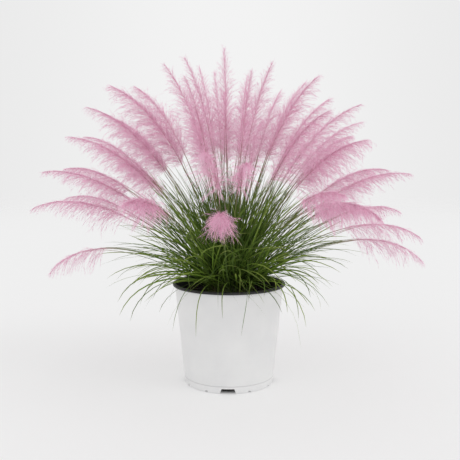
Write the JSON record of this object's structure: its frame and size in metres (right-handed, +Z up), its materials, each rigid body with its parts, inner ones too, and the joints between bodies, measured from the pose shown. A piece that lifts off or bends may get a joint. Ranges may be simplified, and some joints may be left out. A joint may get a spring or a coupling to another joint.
{
  "type": "potted muhly grass",
  "caption": "Pink muhly grass in bloom: a clump of wiry leaves and arching stems with feathery plumes, in a round white nursery pot with drain notches in its foot.",
  "frame": {"origin": "the middle of the pot's foot, on the ground", "axes": "+Z up, along the pot's axis; the side that the picture shows faces -Y, and +X is to its right"},
  "size_m": [0.9334, 0.8695, 0.8102],
  "materials": {
    "pot": "satin white outside, black inside and at the lip",
    "soil": "dark damp potting mix of bark and fibre",
    "crown": "packed green and straw shoots",
    "plume": "fine pink hairs on green and mauve stalks",
    "leaf": "satin green blades"
  },
  "bodies": {
    "root": {"pot": "pot", "soil": "soil", "crown": "crown", "flower_stem_01": "plume", "flower_stem_02": "plume", "flower_stem_03": "plume", "flower_stem_04": "plume", "flower_stem_05": "plume", "flower_stem_06": "plume", "flower_stem_07": "plume", "flower_stem_08": "plume", "flower_stem_09": "plume", "flower_stem_10": "plume", "flower_stem_11": "plume", "flower_stem_12": "plume", "flower_stem_13": "plume", "flower_stem_14": "plume", "flower_stem_15": "plume", "flower_stem_16": "plume", "flower_stem_17": "plume", "flower_stem_18": "plume", "flower_stem_19": "plume", "flower_stem_20": "plume", "flower_stem_21": "plume", "flower_stem_22": "plume", "flower_stem_23": "plume", "flower_stem_24": "plume", "flower_stem_25": "plume", "flower_stem_26": "plume", "flower_stem_27": "plume", "flower_stem_28": "plume", "flower_stem_29": "plume", "flower_stem_30": "plume", "flower_stem_31": "plume", "flower_stem_32": "plume", "flower_stem_33": "plume", "flower_stem_34": "plume", "flower_stem_35": "plume", "flower_stem_36": "plume", "flower_stem_37": "plume", "flower_stem_38": "plume", "flower_stem_39": "plume", "flower_stem_40": "plume", "flower_stem_41": "plume", "flower_stem_42": "plume", "flower_stem_43": "plume", "flower_stem_44": "plume", "flower_stem_45": "plume", "flower_stem_46": "plume", "flower_stem_47": "plume", "flower_stem_48": "plume", "leaf_tuft_01": "leaf", "leaf_tuft_02": "leaf", "leaf_tuft_03": "leaf", "leaf_tuft_04": "leaf", "leaf_tuft_05": "leaf", "leaf_tuft_06": "leaf", "leaf_tuft_07": "leaf", "leaf_tuft_08": "leaf"}
  },
  "joints": []
}
